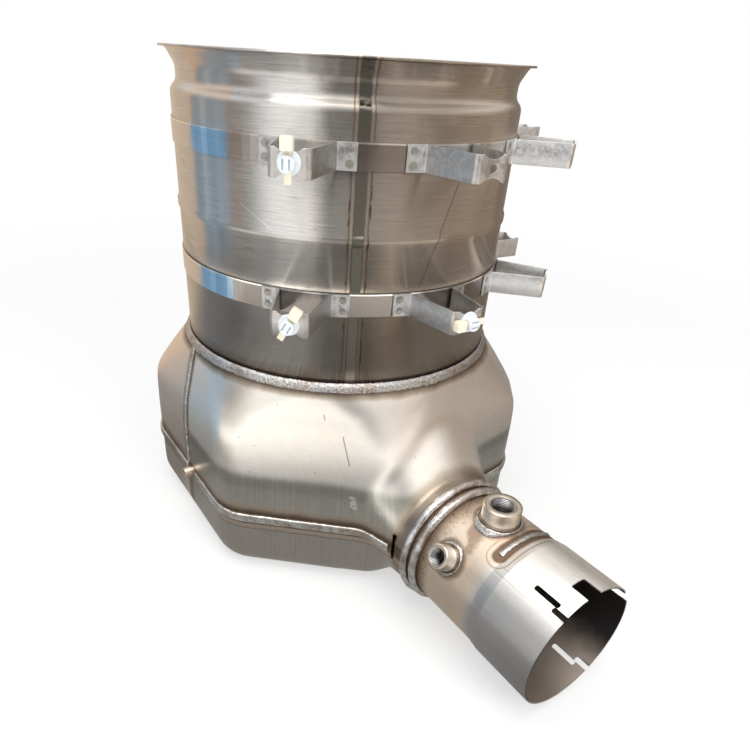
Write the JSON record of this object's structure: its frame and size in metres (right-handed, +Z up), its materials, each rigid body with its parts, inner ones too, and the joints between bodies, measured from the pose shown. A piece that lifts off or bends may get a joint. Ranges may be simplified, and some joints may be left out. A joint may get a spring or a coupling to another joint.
{
  "type": "exhaust filter module",
  "caption": "Upright stainless exhaust filter drum on a pressed collector housing, with a slotted side outlet pipe, sensor ports and straps with clip carriers.",
  "frame": {"origin": "on the drum's axis, at the flat underside of the housing's pan", "axes": "+Z up along the drum to its open rim, +X the way the outlet pipe leaves, +Y to the left seen from behind the pipe"},
  "size_m": [0.4934, 0.346, 0.4085],
  "materials": {
    "drum_steel": "brushed stainless sheet, warm grey, with heat tint at the seam",
    "strap_steel": "bright polished stainless band",
    "carrier_steel": "dull galvanised sheet",
    "housing_steel": "pressed stainless sheet, warm grey with soft brown heat tint",
    "pipe_steel": "stainless tube with straw and brown heat tint",
    "weld_metal": "rough rippled weld bead, silver grey with brown edges",
    "boss_steel": "turned steel, straw and brown heat tint",
    "clip_plastic": "pale grey moulded plastic",
    "tie_plastic": "cream nylon",
    "brick_ceramic": "pale tan porous ceramic honeycomb",
    "mat_fibre": "compressed ceramic fibre mat"
  },
  "bodies": {
    "root": {"drum_shell": "drum_steel", "drum_seam_weld": "weld_metal", "ring_weld": "weld_metal", "upper_strap": "strap_steel", "lower_strap": "strap_steel", "upper_carrier_1": "carrier_steel", "lower_carrier_1": "carrier_steel", "upper_carrier_2": "carrier_steel", "lower_carrier_2": "carrier_steel", "upper_carrier_3": "carrier_steel", "lower_carrier_3": "carrier_steel", "upper_carrier_4": "carrier_steel", "lower_carrier_4": "carrier_steel", "upper_clip": "clip_plastic", "lower_clip_1": "clip_plastic", "lower_clip_2": "clip_plastic", "upper_tie": "tie_plastic", "lower_tie_1": "tie_plastic", "lower_tie_2": "tie_plastic", "front_shell": "housing_steel", "rear_shell": "housing_steel", "bottom_pan": "housing_steel", "left_seam_weld": "weld_metal", "right_seam_weld": "weld_metal", "joint_weld": "weld_metal", "inner_neck_weld": "weld_metal", "outer_neck_weld": "weld_metal", "large_boss_weld": "weld_metal", "small_boss_weld": "weld_metal", "plug_weld": "weld_metal", "pressure_stub": "pipe_steel", "neck_sleeve": "pipe_steel", "outlet_pipe": "pipe_steel", "large_sensor_boss": "boss_steel", "small_sensor_boss": "boss_steel", "filter_brick": "brick_ceramic", "support_mat": "mat_fibre"}
  },
  "joints": []
}
